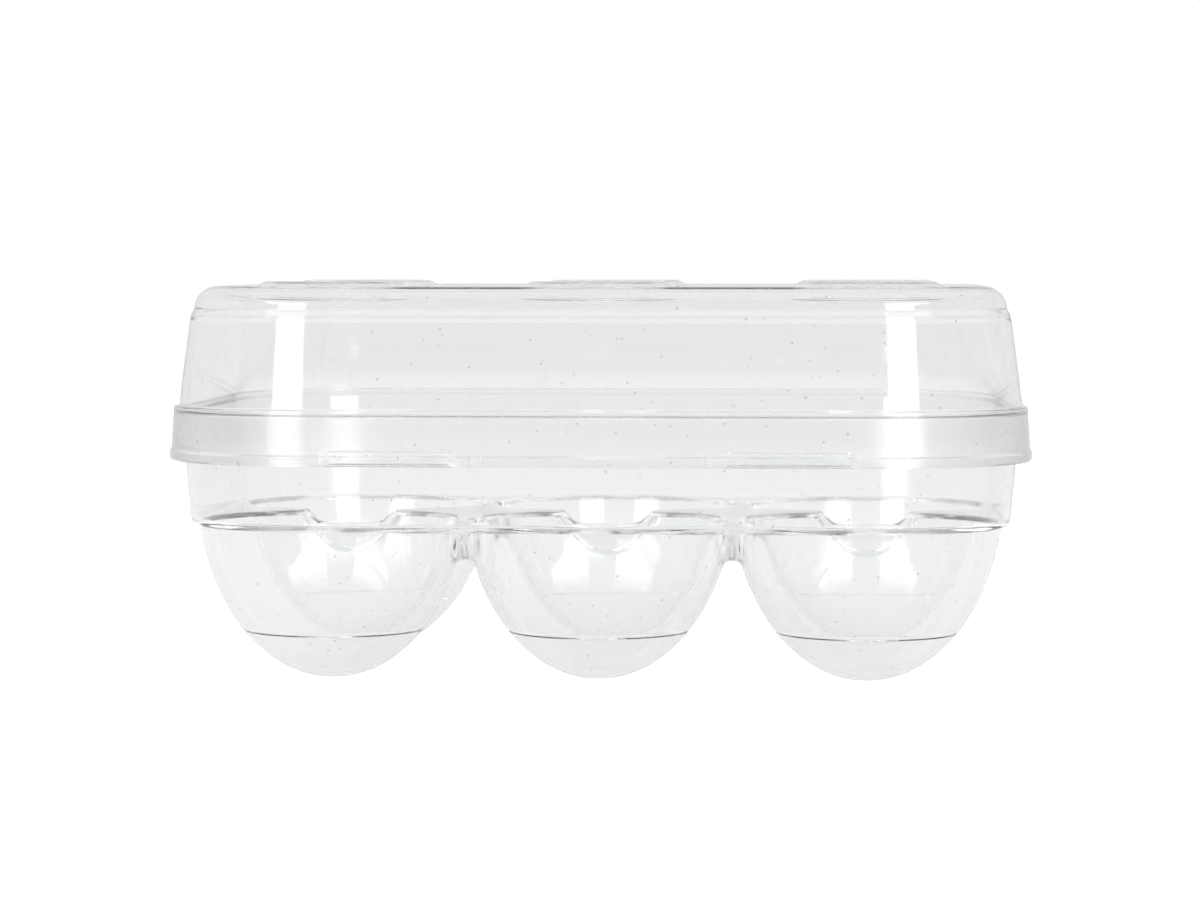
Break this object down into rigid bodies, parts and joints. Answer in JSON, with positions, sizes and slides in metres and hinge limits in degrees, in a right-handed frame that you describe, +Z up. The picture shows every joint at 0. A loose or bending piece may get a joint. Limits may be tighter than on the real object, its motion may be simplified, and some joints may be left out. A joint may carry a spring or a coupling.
{
  "type": "egg storage tray with lid",
  "caption": "Clear plastic egg tray with hanging rounded cups in a grid, and a domed-edge lift-off lid whose skirt fits round the tray's rim.",
  "frame": {"origin": "on the surface that the case stands on, under the middle of its box", "axes": "+Z up through the lid, X along the long side, Y across the two rows of cups"},
  "size_m": [0.1514, 0.1044, 0.0696],
  "materials": {
    "tray_plastic": "clear moulded plastic, polished, slightly milky",
    "lid_plastic": "clear moulded plastic, polished, with a softer finish on the skirt"
  },
  "bodies": {
    "tray": {"tray": "tray_plastic"},
    "lid": {"lid": "lid_plastic"}
  },
  "joints": [
    {"name": "lid_lift", "type": "slide", "parent": "tray", "child": "lid", "axis": [0, 0, 1], "range_m": [0, 0.06]}
  ]
}
